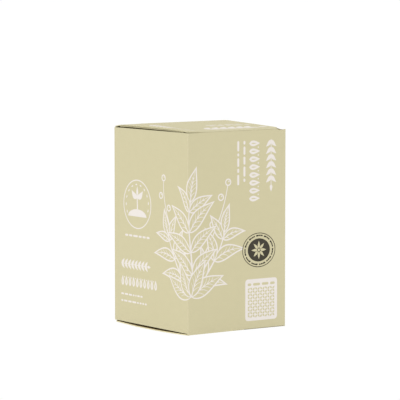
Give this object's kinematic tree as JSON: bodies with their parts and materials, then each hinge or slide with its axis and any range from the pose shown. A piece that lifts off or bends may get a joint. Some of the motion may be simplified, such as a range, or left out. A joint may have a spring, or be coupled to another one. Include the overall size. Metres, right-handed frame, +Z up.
{
  "type": "boxed mushroom grow kit",
  "caption": "Closed upright folded carton of thin board with a bowed tuck lid, side dust flaps and slit front fold, holding a bagged block of mushroom substrate.",
  "frame": {"origin": "centre of the carton's footprint, on the surface it stands on", "axes": "+Z up, +X to the carton's right seen from the front; the front wall, where the lid tucks in, faces -Y, and the lid folds along the back wall's top edge at +Y"},
  "size_m": [0.1204, 0.1312, 0.206],
  "materials": {
    "printed_board": "matte sage-beige print on fine-flute board, off-white line ornament, kraft raw edges",
    "substrate": "pressed sawdust grown through with white mycelium",
    "bag_film": "clear thin film with soft wrinkles"
  },
  "bodies": {
    "carton": {"carton_body": "printed_board", "bottom_panel": "printed_board", "bottom_flap_left": "printed_board", "bottom_flap_right": "printed_board", "substrate_block": "substrate", "grow_bag": "bag_film", "bag_roll": "bag_film"},
    "lid": {"lid": "printed_board"},
    "tuck": {"tuck_flap": "printed_board"},
    "dust_left": {"dust_flap_left": "printed_board"},
    "dust_right": {"dust_flap_right": "printed_board"}
  },
  "joints": [
    {"name": "lid_hinge", "type": "hinge", "parent": "carton", "child": "lid", "pos_m": [0, 0.0656, 0.2015], "axis": [-1, 0, 0], "range_deg": [0, 130]},
    {"name": "tuck_fold", "type": "hinge", "parent": "lid", "child": "tuck", "pos_m": [0, -0.06395, 0.20112], "axis": [-1, 0, 0], "range_deg": [0, 46]},
    {"name": "dust_left_fold", "type": "hinge", "parent": "carton", "child": "dust_left", "pos_m": [-0.0602, 0, 0.2015], "axis": [0, -1, 0], "range_deg": [0, 98]},
    {"name": "dust_right_fold", "type": "hinge", "parent": "carton", "child": "dust_right", "pos_m": [0.0602, 0, 0.2015], "axis": [0, 1, 0], "range_deg": [0, 98]}
  ],
  "couplings": [
    {"joint": "tuck_fold", "follows": "lid_hinge", "ratio": 0.35},
    {"joint": "dust_left_fold", "follows": "lid_hinge", "ratio": 0.75},
    {"joint": "dust_right_fold", "follows": "lid_hinge", "ratio": 0.75}
  ]
}
